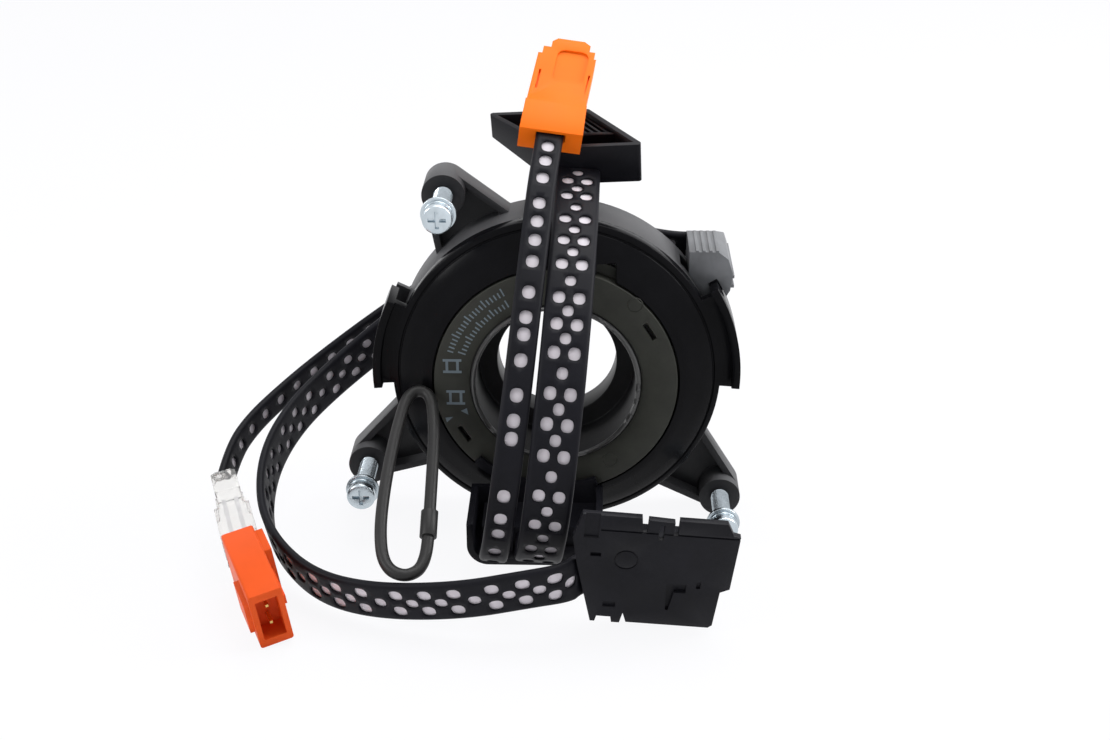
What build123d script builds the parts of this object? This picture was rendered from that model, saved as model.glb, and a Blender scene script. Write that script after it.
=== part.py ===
from build123d import *
from math import cos, pi, radians, sin, tan
import os

# Steering clock spring, in millimetres. Y runs along the steering axis, away from the driver, and Z is
# up. The origin is on that axis, in the back face that bolts to the steering column.

# Drum
drum_r = 50.0
drum_wall = 2.0
back_plate = 2.0
housing_depth = 16.0
cover_edge = 20.0
cover_rise = 6.6
cover_wall = 2.0
register_wall = 1.6
register_depth = 2.5
seat_gap = 0.1
edge_groove = 0.6

# Rotor
face_front = 27.0
face_r = 36.7
face_gap = 0.6
face_wall = 2.5
rim_wall = 2.0
retainer_reach = 3.3
retainer_wall = 1.3
winding_wall = 1.6
bore_r = 18.5
sleeve_wall = 2.5
well_r = 24.2
hub_wall = 1.6
hub_flange = 2.0
bore_length = 10.0
bearing_gap = 0.07
collar_wall = 2.4
collar_gap = 0.4
slot_size = (5.8, 1.5)
slot_inset = 3.1
slot_angle = 32.0

# Ribbon and its slip sheets
ribbon_wall = 0.5
ribbon_pitch = 2.6
sheet_wall = 0.3
ribbon_gap = 0.6

# Mounting ears, with the angle of each boss and how far its middle is outside the drum
ear_angles = {"upper": 121.9, "left": -148.5, "right": -42.0}
ear_reaches = {"upper": 13.8, "left": 20.4, "right": 20.4}
boss_r = 6.5
boss_depth = 12.0
ear_spread = 16.0
ear_web = 3.0
ear_rib = 2.0
ear_rib_depth = 8.0

# Mounting screws, standing out of the bosses as delivered
screw_r = 2.5
screw_clearance = 0.4
screw_tip = 7.5
screw_travel = 15.4
head_r = 4.4
head_depth = 3.4
washer_r = 5.2
washer_wall = 1.0
lock_washer_r = 4.5
lock_washer_wall = 1.3
lock_washer_split = 0.8
recess_size = (5.2, 1.1, 1.6)

# Guide skirts on the cover
skirt_gap = 3.5
skirt_wall = 2.5
skirt_front = 21.5
skirt_back = 8.0
right_skirt = (-4.0, 35.0)
right_bridge = (-4.0, 33.5)
left_skirt = (154.5, 30.5)
left_bridge = (154.5, 29.5)
flange_gap = 2.0
flange_wall = 1.8

# Outlet box beside the drum
outlet_angle = 37.0
outlet_steps = [(-0.3, -7.6), (10.6, -7.6), (12.3, -4.6), (12.9, 0.9), (11.4, 5.4), (8.4, 7.7), (-0.3, 7.7)]
outlet_front = 14.0
outlet_back = 13.0
outlet_wall = 1.6
outlet_rib = 0.5
outlet_slope = (3.0, -4.4)

# Lead-out duct on the rotor
duct_left = 26.0
duct_right = 14.6
duct_drop = 11.7
duct_overlap = 2.2
duct_wall = 2.0
duct_length = 23.0
duct_back_wall = 1.7
duct_corner = 6.5
anchor_height = 6.4
divider_x = -13.0
divider_wall = 1.2

# Flat straps
wide_strap = 13.6
narrow_strap = 8.2
strap_wall = 2.5
collar_margin = 0.9
end_gap = 0.25

# Routes of the straps, point by point from the end nearest the drum
wheel_wide_route = [
    (-4.9, -44, -43.4),
    (-5.0, -63, -44.3),
    (-1.5, -76.5, -18.5),
    (1.8, -67.3, 11.8),
    (3.9, -51, 32.7),
    (5.5, -27.8, 49.9),
    (6.03, 3, 57.0),
]
wheel_narrow_route = [
    (-18.1, -44, -43.4),
    (-18.2, -63, -44.3),
    (-14.2, -76.5, -18.5),
    (-10.3, -67.3, 11.8),
    (-7.7, -51, 33.6),
    (-5.7, -34.5, 49.7),
    (-3.9, -17, 64.0),
    (-1.9, -2.9, 71.9),
]
column_wide_route = [
    (39.5, 5.5, 30.6),
    (34, 5.5, 30.6),
    (16, 5.5, 34.5),
    (-12, 13, 27),
    (-37, 22, 9),
    (-57, 24, -7),
    (-74, 14, -18.5),
    (-85, -3, -24.8),
    (-90, -23, -30.5),
    (-88.3, -43, -37),
    (-81, -57.5, -42),
    (-68, -70.5, -45.2),
    (-50, -79.4, -44),
    (-26, -84.8, -39.9),
    (-6, -85, -35.5),
    (4, -83.1, -34.6),
    (8.6, -75.9, -35.4),
    (14, -74.4, -35.2),
]
column_narrow_route = [
    (39.5, 10, 29.8),
    (34, 10, 29.8),
    (16, 10, 34),
    (-10, 19, 28),
    (-37, 30, 12),
    (-60, 33, -5),
    (-79, 24, -17),
    (-91, 9, -23),
    (-98.5, -4, -26.8),
    (-102.2, -17, -30),
    (-102.6, -29, -34),
]
wheel_wide_across = Vector(0.9973, 0, -0.0735)
wheel_narrow_across = Vector(0.9908, 0, -0.1353)
column_wide_across = Vector(-0.17, -0.17, 0.97)
column_narrow_across = Vector(-0.3, -0.35, 0.89)

# Black connector at the end of the wide wheel strap, in plan from the strap's end
wheel_switch_plan = [(-7.4, end_gap), (20.2, end_gap), (3.6, 23), (-28.2, 23)]
wheel_switch_roll = 7.0
wheel_switch_below = 4.4
wheel_switch_height = 12.8
wheel_switch_taper = (-29, -7, 5.5)
wheel_switch_ribs = 5
moulding_wall = 1.6
wheel_switch_bar = 9.5

# Orange plug at the end of the narrow wheel strap
plug_width = 18.8
plug_body_width = 18.2
plug_collar = 9.0
plug_length = 43.0
plug_above = 2.6
plug_below = 5.8
plug_mouth_depth = 3.0
finger_recess = (9.5, 18.0, 0.7, 1.5, 4.6)
plug_slit = (0.6, 8.0, 1.2)
contact_r = 1.5
contact_x = 2.3

# Orange plug at the end of the narrow column strap: the middle of its mouth, its width and its length
column_plug_mouth = (-78.2, -88.9, -43.7)
column_plug_across = (0.905, 0.397, 0.155)
column_plug_along = (0.41, -0.91, -0.065)
column_plug_size = (9.7, 18.3, 32.8)
column_plug_cavity = (6.5, 13.4, 7.0)
column_plug_pin = (0.9, 5.0)

# Black connector at the end of the wide column strap: the middle of its lower edge and its front face
column_switch_origin = (28.15, -78.6, -51.15)
column_switch_across = (cos(radians(4.5)), 0, -sin(radians(4.5)))
column_switch_facing = (0, -cos(radians(8)), -sin(radians(8)))
column_switch_outline = [
    (-22.4, 38.4), (-24.5, 29.8), (-22.6, 20.2), (-17.3, 0), (-16, 0), (-15.6, 2), (-11.6, 2), (-11.2, 0),
    (-8.9, 0), (-8.2, 3.7), (-7.1, 0.4), (16.5, 0.4), (17.6, 1.4), (18.3, 13.8), (20.9, 15.2), (21.6, 33.8),
    (19.6, 34.3), (17.6, 38.2), (4.3, 38.2), (4.3, 33), (3.1, 33), (3.1, 37.4), (-4.2, 37.8), (-4.2, 33.2),
    (-5.4, 33.2), (-6, 38.3),
]
switch_cover_wall = 2.0
switch_body = (-12.4, 16.5, 4.0, 33.0)
switch_body_depth = 8.5
switch_cavity_depth = 6.5
switch_pin = (0.8, 1.8)

# Cord loop that hangs over the wide column strap
loop_cord_r = 1.8
loop_route = [
    (-35.6, -62, -24.5),
    (-35.6, -50, -16.5),
    (-35.8, -39, -9.3),
    (-37.6, -27.8, -2.6),
    (-44.4, -27.8, -2.4),
    (-47, -39, -9.2),
    (-49, -54, -18.6),
    (-49.6, -68, -27.6),
    (-47.5, -77.5, -33.6),
    (-41, -80.6, -35.2),
    (-35.6, -75.97, -33.81),
    (-35.6, -68.656, -28.937),
]
sleeve_r = 2.5


def polar(radius, angle):
    """The point (x, z) at a radius and an angle from +X towards +Z."""
    return (radius * cos(radians(angle)), radius * sin(radians(angle)))


def facing(y):
    """The plane across the steering axis at y. It faces the driver."""
    return Plane.XZ.offset(-y)


def outline(plane, corners):
    """A flat face with straight sides."""
    with BuildSketch(plane) as drawn:
        with BuildLine():
            Polyline(*corners, close=True)
        make_face()
    return drawn.sketch


def inset(plane, corners, wall):
    """A flat face with straight sides, smaller all round by a wall."""
    with BuildSketch(plane) as drawn:
        with BuildLine():
            Polyline(*corners, close=True)
        make_face()
        offset(amount=-wall)
    return drawn.sketch


def sector(plane, inner_r, outer_r, start, sweep_angle):
    """A flat piece of a ring about the steering axis."""
    with BuildSketch(plane) as drawn:
        with BuildLine():
            CenterArc((0, 0), outer_r, start, sweep_angle)
            CenterArc((0, 0), inner_r, start, sweep_angle)
            for side in (start, start + sweep_angle):
                Line(polar(inner_r, side), polar(outer_r, side))
        make_face()
    return drawn.sketch


def bar(plane, x_from, x_to, y_from, y_to):
    """A rectangle between two pairs of sides."""
    with BuildSketch(plane) as drawn:
        with Locations(((x_from + x_to) / 2, (y_from + y_to) / 2)):
            Rectangle(x_to - x_from, y_to - y_from)
    return drawn.sketch


def bends(route):
    """The radius at each corner: its arc takes 0.45 of the shorter run beside it."""
    radii = []
    for before, corner, after in zip(route, route[1:], route[2:]):
        run_in = Vector(*corner) - Vector(*before)
        run_out = Vector(*after) - Vector(*corner)
        half_turn = radians(run_in.get_angle(run_out)) / 2
        radii.append(0.45 * min(run_in.length, run_out.length) / tan(half_turn))
    return radii


def route_wire(route, shift=Vector(0, 0, 0)):
    """Straight runs joined by tangent arcs through a route."""
    with BuildLine() as drawn:
        FilletPolyline(*[Vector(*point) + shift for point in route], radius=bends(route))
    return drawn.wire()


def end_plane(route, position, across):
    """The plane square to a route at its start (0) or end (1), with x across the strap."""
    wire = route_wire(route)
    return Plane(origin=wire @ position, x_dir=across, z_dir=wire % position)


def strap_end_plane(solid, route, across):
    """The plane of a finished strap's far end, with x across the strap."""
    end_point = route_wire(route) @ 1
    end_face = min(solid.faces(), key=lambda face: (face.center() - end_point).length)
    return Plane(origin=end_point, x_dir=across, z_dir=end_face.normal_at())


def lying_plane(route, across):
    """A plane at a route's end, with x across the strap and y along it, so that z stands off the strap."""
    wire = route_wire(route)
    return Plane(origin=wire @ 1, x_dir=across, z_dir=across.cross(wire % 1))


def print_route(name, route, length, section, solid):
    """Say how tight a cord's bends are, and whether its solid is its section times its length."""
    tightest = min(bends(route))
    share = solid.volume / (section * length)
    print(f"{name}: length {length:.1f}, tightest bend {tightest:.1f}, volume {share:.4f} of section x length")


def save(solid, name):
    """Label a finished piece and write its file."""
    solid.label = name
    export_step(solid, f"parts/{name}.step")


os.makedirs("parts", exist_ok=True)

# Places that several pieces share
inner_r = drum_r - drum_wall
cover_inner_r = face_r + face_gap
cover_slope = cover_rise / (drum_r - cover_inner_r)
cover_front = cover_edge + cover_rise
hub_r = well_r + hub_wall
winding_r = hub_r + seat_gap
sleeve_outer_r = bore_r + sleeve_wall
collar_inner_r = sleeve_outer_r + bearing_gap
collar_outer_r = collar_inner_r + collar_wall
hub_flange_back = bore_length - hub_flange
collar_top = hub_flange_back - collar_gap
register_r = inner_r - seat_gap
register_inner_r = register_r - register_wall
retainer_front = cover_front - retainer_reach * cover_slope - cover_wall - 0.4
ribbon_inner_r = winding_r + winding_wall + ribbon_gap
ribbon_room = register_inner_r - 3.6 - ribbon_wall - ribbon_inner_r
ribbon_half_turns = int(ribbon_room / (ribbon_pitch / 2))
ribbon_back = back_plate + sheet_wall
ribbon_front = cover_edge - 1.4
screw_hole_r = screw_r + screw_clearance
ears = {name: (ear_angles[name], drum_r + ear_reaches[name]) for name in ear_angles}
washer_back = boss_depth + screw_travel

# Rear housing: a cup with a bearing collar, three ears and a window to the outlet box
with BuildPart() as rear_housing:
    revolve(
        outline(
            Plane.XY,
            [
                (collar_inner_r, 0),
                (drum_r, 0),
                (drum_r, -housing_depth),
                (inner_r, -housing_depth),
                (inner_r, -back_plate),
                (collar_outer_r, -back_plate),
                (collar_outer_r, -collar_top),
                (collar_inner_r, -collar_top),
            ],
        ),
        axis=Axis.Y,
    )
    for ear_angle, ear_reach in ears.values():
        for depth, rim_only in ((ear_web, False), (ear_rib_depth, True)):
            with BuildSketch(facing(0)):
                with BuildLine():
                    CenterArc(polar(ear_reach, ear_angle), boss_r, 0, 360)
                    CenterArc((0, 0), drum_r - drum_wall / 2, ear_angle - ear_spread, 2 * ear_spread)
                make_hull()
                if rim_only:
                    offset(amount=-ear_rib, mode=Mode.SUBTRACT)
                Circle(inner_r + drum_wall / 4, mode=Mode.SUBTRACT)
            extrude(amount=depth)
        with BuildSketch(facing(0)):
            with Locations(polar(ear_reach, ear_angle)):
                Circle(boss_r)
        extrude(amount=boss_depth)
        with BuildSketch(facing(0)):
            with Locations(polar(ear_reach, ear_angle)):
                Circle(screw_hole_r)
        extrude(amount=boss_depth, mode=Mode.SUBTRACT)
    # A flange behind each skirt of the cover
    for flange_start, flange_angle in (right_skirt, left_skirt):
        flange = sector(
            facing(flange_gap - skirt_back), inner_r + 1, drum_r + skirt_gap + 1, flange_start, flange_angle - 8
        )
        extrude(flange, amount=-flange_wall)
    extrude(sector(facing(-4), inner_r - 1, drum_r + 1, 33, 9), amount=8, mode=Mode.SUBTRACT)
save(rear_housing.part, "rear_housing")

# Front cover: a shallow cone with a register inside the housing and a skirt at each side
with BuildPart() as front_cover:
    revolve(
        outline(
            Plane.XY,
            [
                (drum_r, -housing_depth),
                (drum_r, -cover_edge),
                (cover_inner_r, -cover_front),
                (cover_inner_r, -cover_front + cover_wall),
                (register_inner_r, -cover_front + cover_wall + (register_inner_r - cover_inner_r) * cover_slope),
                (register_inner_r, -housing_depth + register_depth),
                (register_r, -housing_depth + register_depth),
                (register_r, -housing_depth),
            ],
        ),
        axis=Axis.Y,
    )
    groove_r = drum_r - 4 * edge_groove
    groove_front = cover_edge + (drum_r - groove_r) * cover_slope
    revolve(
        outline(
            Plane.XY,
            [
                (groove_r, -groove_front - 1),
                (groove_r + edge_groove, -groove_front - 1),
                (groove_r + edge_groove, -groove_front + edge_groove),
                (groove_r, -groove_front + edge_groove),
            ],
        ),
        axis=Axis.Y,
        mode=Mode.SUBTRACT,
    )
    for skirt, bridge in ((right_skirt, right_bridge), (left_skirt, left_bridge)):
        skirt_r = drum_r + skirt_gap
        extrude(sector(facing(-skirt_back), skirt_r, skirt_r + skirt_wall, *skirt), amount=skirt_front - skirt_back)
        extrude(
            sector(facing(-housing_depth - 1), drum_r - 0.5, skirt_r + 0.5, *bridge),
            amount=cover_edge - housing_depth - 1,
        )
    extrude(bar(facing(-cover_front - 1), 12, 17.7, 30, 38), amount=-8, mode=Mode.SUBTRACT)
save(front_cover.part, "front_cover")

# Outlet box: a thin-walled shell beside and behind the drum, open towards the housing's window
outlet_x, outlet_z = polar(drum_r, outlet_angle)
outlet_outline = [(outlet_x + step_x, outlet_z + step_z) for step_x, step_z in outlet_steps]
outlet_top = outlet_outline[-1][1]
outlet_side = outlet_outline[3][0]
with BuildPart() as outlet_cover:
    extrude(outline(facing(outlet_back), outlet_outline), amount=outlet_back + outlet_front)
    for rib_x in (outlet_x + 1.6, outlet_x + 3.6, outlet_x + 5.6, outlet_x + 7.6):
        rib = bar(facing(outlet_back), rib_x, rib_x + 0.9, outlet_top - 1.5, outlet_top + outlet_rib)
        extrude(rib, amount=outlet_back + outlet_front)
    for rib_z in (outlet_z - 3.6, outlet_z - 0.6):
        rib = bar(facing(outlet_back), outlet_side - 2.5, outlet_side + outlet_rib, rib_z, rib_z + 1.0)
        extrude(rib, amount=outlet_back + outlet_front)
    extrude(
        inset(facing(outlet_back - outlet_wall), outlet_outline, outlet_wall),
        amount=outlet_back + outlet_front - 2 * outlet_wall,
        mode=Mode.SUBTRACT,
    )
    # The top slopes down behind
    slope_from, slope_drop = outlet_slope
    slope_top = outlet_top + outlet_rib + 0.1
    slope = [(slope_from, slope_top), (outlet_back + 1, outlet_top + slope_drop), (outlet_back + 1, slope_top)]
    extrude(outline(Plane.YZ.offset(outlet_x - 1), slope), amount=20, mode=Mode.SUBTRACT)
    # Room for the cover's right skirt
    skirt_room = sector(
        facing(-skirt_back + 0.3),
        drum_r + skirt_gap - 0.3,
        drum_r + skirt_gap + skirt_wall + 0.3,
        right_skirt[0],
        right_skirt[1] + 0.4,
    )
    extrude(skirt_room, amount=outlet_front, mode=Mode.SUBTRACT)
    with BuildSketch(facing(seat_gap)):
        Circle(drum_r + seat_gap)
    extrude(amount=outlet_front + 1, mode=Mode.SUBTRACT)
save(outlet_cover.part, "outlet_cover")

# Rotor face: a ring in the cover's opening, with the winding wall and a rim that the cover retains
with BuildPart() as rotor_face:
    revolve(
        outline(
            Plane.XY,
            [
                (winding_r, -face_front),
                (face_r, -face_front),
                (face_r, -retainer_front),
                (face_r + retainer_reach, -retainer_front),
                (face_r + retainer_reach, -retainer_front + retainer_wall),
                (face_r - rim_wall, -retainer_front + retainer_wall),
                (face_r - rim_wall, -face_front + face_wall),
                (winding_r + winding_wall, -face_front + face_wall),
                (winding_r + winding_wall, -bore_length - 2),
                (winding_r, -bore_length - 2),
            ],
        ),
        axis=Axis.Y,
    )
    for turn in (0, 180):
        with BuildSketch(facing(-face_front)):
            with Locations(polar(face_r - slot_inset - slot_size[1] / 2, slot_angle + turn)):
                Rectangle(slot_size[1], slot_size[0], rotation=slot_angle)
        extrude(amount=-face_wall, mode=Mode.SUBTRACT)
save(rotor_face.part, "rotor_face")

# Rotor hub: a tube with a floor and the sleeve that turns in the housing's collar
with BuildPart() as rotor_hub:
    revolve(
        outline(
            Plane.XY,
            [
                (well_r, -face_front - 0.4),
                (hub_r, -face_front - 0.4),
                (hub_r, -hub_flange_back),
                (sleeve_outer_r, -hub_flange_back),
                (sleeve_outer_r, 0),
                (bore_r, 0),
                (bore_r, -bore_length),
                (well_r, -bore_length),
            ],
        ),
        axis=Axis.Y,
    )
save(rotor_hub.part, "rotor_hub")

# Lead-out duct: a trough on the rotor's face that the two wheel straps leave
duct_top = face_r - duct_overlap
duct_floor = face_r + duct_drop
with BuildPart() as lead_out_duct:
    duct_back = face_front + 0.3
    for shrink in (0, duct_wall):
        left = shrink - duct_left
        floor = shrink - duct_floor
        corner = duct_corner - shrink
        with BuildSketch(facing(-duct_back - (duct_back_wall if shrink else 0))):
            with BuildLine():
                Polyline((left + corner, floor), (duct_right - shrink, floor), (duct_right - shrink, -duct_top))
                Polyline((duct_right - shrink, -duct_top), (left, -duct_top), (left, floor + corner))
                CenterArc((left + corner, floor + corner), corner, 180, 90)
            make_face()
        extrude(amount=duct_length + duct_back_wall, mode=Mode.SUBTRACT if shrink else Mode.ADD)
    duct_inner = duct_wall - duct_left
    anchor_plane = facing(-duct_back - duct_back_wall)
    anchor_depth = -wheel_wide_route[0][1] - duct_back - duct_back_wall
    anchor_floor = -duct_floor + duct_wall
    extrude(
        bar(anchor_plane, duct_inner + 2, duct_right - duct_wall, anchor_floor, anchor_floor + anchor_height),
        amount=anchor_depth,
    )
    extrude(
        bar(
            anchor_plane,
            divider_x - divider_wall / 2,
            divider_x + divider_wall / 2,
            anchor_floor,
            anchor_floor + anchor_height,
        ),
        amount=duct_length - 4,
    )
    # The foot that stands on the rotor face's rim
    extrude(sector(facing(-face_front), face_r - 3, face_r - 0.2, -133, 64), amount=2)
save(lead_out_duct.part, "lead_out_duct")

# Ribbon: flat cable wound as a spiral of half circles, drawn as one band
with BuildPart() as ribbon_coil:
    with BuildSketch(facing(-ribbon_back)):
        with BuildLine():
            for half in range(ribbon_half_turns):
                centre = ((half % 2) * ribbon_pitch / 2, 0)
                band_r = ribbon_inner_r + half * ribbon_pitch / 2
                for side_r in (band_r, band_r + ribbon_wall):
                    CenterArc(centre, side_r, 180 * (half % 2), 180)
            Line((ribbon_inner_r, 0), (ribbon_inner_r + ribbon_wall, 0))
            last_half = ribbon_half_turns - 1
            last_r = ribbon_inner_r + last_half * ribbon_pitch / 2
            last_x = (last_half % 2) * ribbon_pitch / 2
            outwards = 1 if last_half % 2 else -1
            Line((last_x + outwards * last_r, 0), (last_x + outwards * (last_r + ribbon_wall), 0))
        make_face()
    extrude(amount=ribbon_front - ribbon_back)
save(ribbon_coil.part, "ribbon_coil")

# Slip sheets: thin rings on both edges of the ribbon
for name, sheet_y in (("rear_slip_sheet", -back_plate), ("front_slip_sheet", -ribbon_front)):
    with BuildPart() as slip_sheet:
        with BuildSketch(facing(sheet_y)):
            Circle(register_inner_r - 0.3)
            Circle(winding_r + winding_wall + 0.4, mode=Mode.SUBTRACT)
        extrude(amount=sheet_wall)
    save(slip_sheet.part, name)

# Mounting screws with their washers
for name, (ear_angle, ear_reach) in ears.items():
    ear_x, ear_z = polar(ear_reach, ear_angle)
    head_back = washer_back + washer_wall + lock_washer_wall
    with BuildPart() as screw:
        with BuildSketch(facing(-screw_tip)):
            with Locations((ear_x, ear_z)):
                Circle(screw_r)
        extrude(amount=head_back - screw_tip)
        chamfer(screw.edges().group_by(Axis.Y)[-1], length=0.5)
        with BuildSketch(facing(-head_back)):
            with Locations((ear_x, ear_z)):
                Circle(head_r)
        extrude(amount=head_depth)
        fillet(screw.edges().group_by(Axis.Y)[0], radius=0.8)
        with BuildSketch(facing(-head_back - head_depth)):
            with Locations((ear_x, ear_z)):
                Rectangle(recess_size[0], recess_size[1])
                Rectangle(recess_size[1], recess_size[0])
        extrude(amount=-recess_size[2], mode=Mode.SUBTRACT)
    save(screw.part, f"{name}_screw")
    with BuildPart() as washer:
        with BuildSketch(facing(-washer_back)):
            with Locations((ear_x, ear_z)):
                Circle(washer_r)
                Circle(screw_r + 0.1, mode=Mode.SUBTRACT)
        extrude(amount=washer_wall)
    save(washer.part, f"{name}_washer")
    with BuildPart() as lock_washer:
        with BuildSketch(facing(-washer_back - washer_wall)):
            with Locations((ear_x, ear_z)):
                Circle(lock_washer_r)
                Circle(screw_r + 0.1, mode=Mode.SUBTRACT)
            with Locations((ear_x - lock_washer_r, ear_z)):
                Rectangle(2 * (lock_washer_r - screw_r), lock_washer_split, mode=Mode.SUBTRACT)
        extrude(amount=lock_washer_wall)
    save(lock_washer.part, f"{name}_lock_washer")

# Flat straps
straps = {
    "wheel_wide_strap": (wheel_wide_route, wide_strap, wheel_wide_across),
    "wheel_narrow_strap": (wheel_narrow_route, narrow_strap, wheel_narrow_across),
    "column_wide_strap": (column_wide_route, wide_strap, column_wide_across),
    "column_narrow_strap": (column_narrow_route, narrow_strap, column_narrow_across),
}
made_straps = {}
for name, (route, strap_width, across) in straps.items():
    centre_line = route_wire(route)
    guide_line = route_wire(route, across * strap_width)
    with BuildPart() as strap:
        with BuildSketch(end_plane(route, 0, across)):
            Rectangle(strap_width, strap_wall)
        sweep(path=centre_line, binormal=guide_line)
    print_route(name, route, centre_line.length, strap_width * strap_wall, strap.part)
    made_straps[name] = strap.part
    save(strap.part, name)

# Black connector of the wide wheel strap: a tray with a bar across it and a row of contacts
wheel_switch_plane = lying_plane(wheel_wide_route, wheel_wide_across)
wheel_switch_plane = wheel_switch_plane.rotated((0, -wheel_switch_roll, 0))
wheel_switch_bottom = wheel_switch_plane.offset(-wheel_switch_below)
wheel_switch_floor = wheel_switch_plane.offset(-wheel_switch_below + moulding_wall)
wheel_switch_front = Plane(
    origin=wheel_switch_bottom.origin, x_dir=wheel_switch_plane.x_dir, z_dir=-wheel_switch_plane.y_dir
)
taper_from, taper_to, taper_rise = wheel_switch_taper
with BuildPart() as wheel_switch_cavity:
    extrude(inset(wheel_switch_floor, wheel_switch_plan, moulding_wall), amount=wheel_switch_height)
    raised = [
        (taper_from, -1),
        (taper_to, -1),
        (taper_to, moulding_wall),
        (taper_from, taper_rise + moulding_wall),
    ]
    extrude(outline(wheel_switch_front, raised), amount=-25, mode=Mode.SUBTRACT)
with BuildPart() as wheel_switch_connector:
    extrude(outline(wheel_switch_bottom, wheel_switch_plan), amount=wheel_switch_height)
    upright = Axis(wheel_switch_plane.origin, wheel_switch_plane.z_dir)
    fillet(wheel_switch_connector.edges().filter_by(upright), radius=1.0)
    tapered = [(taper_from, -1), (taper_to, -1), (taper_to, 0), (taper_from, taper_rise)]
    extrude(outline(wheel_switch_front, tapered), amount=-25, mode=Mode.SUBTRACT)
    add(wheel_switch_cavity.part, mode=Mode.SUBTRACT)
    bar_top = wheel_switch_height - moulding_wall - 1.5
    cross_bar = bar(wheel_switch_floor, -13, 12.5, wheel_switch_bar, wheel_switch_bar + moulding_wall)
    extrude(cross_bar, amount=bar_top)
    # Ribs along the right wall, behind the bar
    lean = (wheel_switch_plan[1][0] - wheel_switch_plan[2][0]) / wheel_switch_plan[2][1]
    rib_from, rib_to = wheel_switch_bar + moulding_wall / 2, wheel_switch_plan[2][1] - moulding_wall / 2
    for rib in range(wheel_switch_ribs):
        rib_x = wheel_switch_plan[1][0] - 3.4 - 2.2 * rib
        corners = [(rib_x - lean * y + side, y) for y, side in ((rib_from, 0), (rib_from, 0.9))]
        corners += [(rib_x - lean * y + side, y) for y, side in ((rib_to, 0.9), (rib_to, 0))]
        extrude(outline(wheel_switch_floor, corners), amount=bar_top)
save(wheel_switch_connector.part, "wheel_switch_connector")

bar_back = Plane(
    origin=wheel_switch_plane.from_local_coords((0, wheel_switch_bar + moulding_wall, 0)),
    x_dir=wheel_switch_plane.x_dir,
    z_dir=wheel_switch_plane.y_dir,
)
with BuildPart() as wheel_switch_pins:
    for pin in range(6):
        with BuildSketch(bar_back):
            with Locations((-13.5 + pin * 1.8, -1)):
                Rectangle(0.8, 0.8)
        extrude(amount=4.5)
save(wheel_switch_pins.part, "wheel_switch_pins")

# Orange plug of the narrow wheel strap: a collar, a body stepped at its far end and a finger recess
plug_plane = lying_plane(wheel_narrow_route, wheel_narrow_across)
plug_end = plug_length - plug_mouth_depth
with BuildPart() as wheel_airbag_plug:
    extrude(
        bar(plug_plane.offset(-plug_below), -plug_width / 2, plug_width / 2, -plug_mouth_depth, plug_collar),
        amount=plug_below + plug_above,
    )
    body_half = plug_body_width / 2
    extrude(
        outline(
            plug_plane.offset(-plug_below + 0.3),
            [
                (-body_half, 0),
                (body_half, 0),
                (body_half, plug_end - 7),
                (body_half - 1.2, plug_end - 7),
                (body_half - 1.2, plug_end - 4),
                (body_half - 3, plug_end - 4),
                (body_half - 3, plug_end - 1.5),
                (body_half - 5, plug_end),
                (-body_half + 5, plug_end),
                (-body_half + 3, plug_end - 1.5),
                (-body_half + 3, plug_end - 4),
                (-body_half + 1.2, plug_end - 4),
                (-body_half + 1.2, plug_end - 7),
                (-body_half, plug_end - 7),
            ],
        ),
        amount=plug_below + plug_above - 0.6,
    )
    recess_width, recess_length, recess_depth, recess_side, recess_margin = finger_recess
    with BuildSketch(plug_plane.offset(plug_above - 0.3)):
        with Locations((recess_side, plug_end - recess_margin - recess_length / 2)):
            RectangleRounded(recess_width, recess_length, 2.5)
    extrude(amount=-recess_depth, mode=Mode.SUBTRACT)
    # Slits beside the latch arms
    slit_width, slit_length, slit_depth = plug_slit
    for slit_x in (-body_half + 1.1, body_half - 1.7):
        slit = bar(plug_plane.offset(plug_above - 0.3), slit_x, slit_x + slit_width, 14, 14 + slit_length)
        extrude(slit, amount=-slit_depth, mode=Mode.SUBTRACT)
    extrude(
        bar(
            plug_plane.offset(-strap_wall / 2 - 0.3),
            -narrow_strap / 2 - 0.3,
            narrow_strap / 2 + 0.3,
            -plug_mouth_depth,
            end_gap,
        ),
        amount=strap_wall + 0.6,
        mode=Mode.SUBTRACT,
    )
    far_plane = Plane(
        origin=plug_plane.from_local_coords((0, plug_end, -1.6)), x_dir=plug_plane.x_dir, z_dir=plug_plane.y_dir
    )
    with BuildSketch(far_plane):
        with Locations((-contact_x, 0), (contact_x, 0)):
            Circle(contact_r)
    extrude(amount=-8, mode=Mode.SUBTRACT)
save(wheel_airbag_plug.part, "wheel_airbag_plug")

with BuildPart() as wheel_airbag_terminals:
    with BuildSketch(far_plane.offset(-1.5)):
        with Locations((-contact_x, 0), (contact_x, 0)):
            Circle(contact_r - 0.2)
            Circle(contact_r - 0.6, mode=Mode.SUBTRACT)
    extrude(amount=-6.5)
save(wheel_airbag_terminals.part, "wheel_airbag_terminals")

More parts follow.
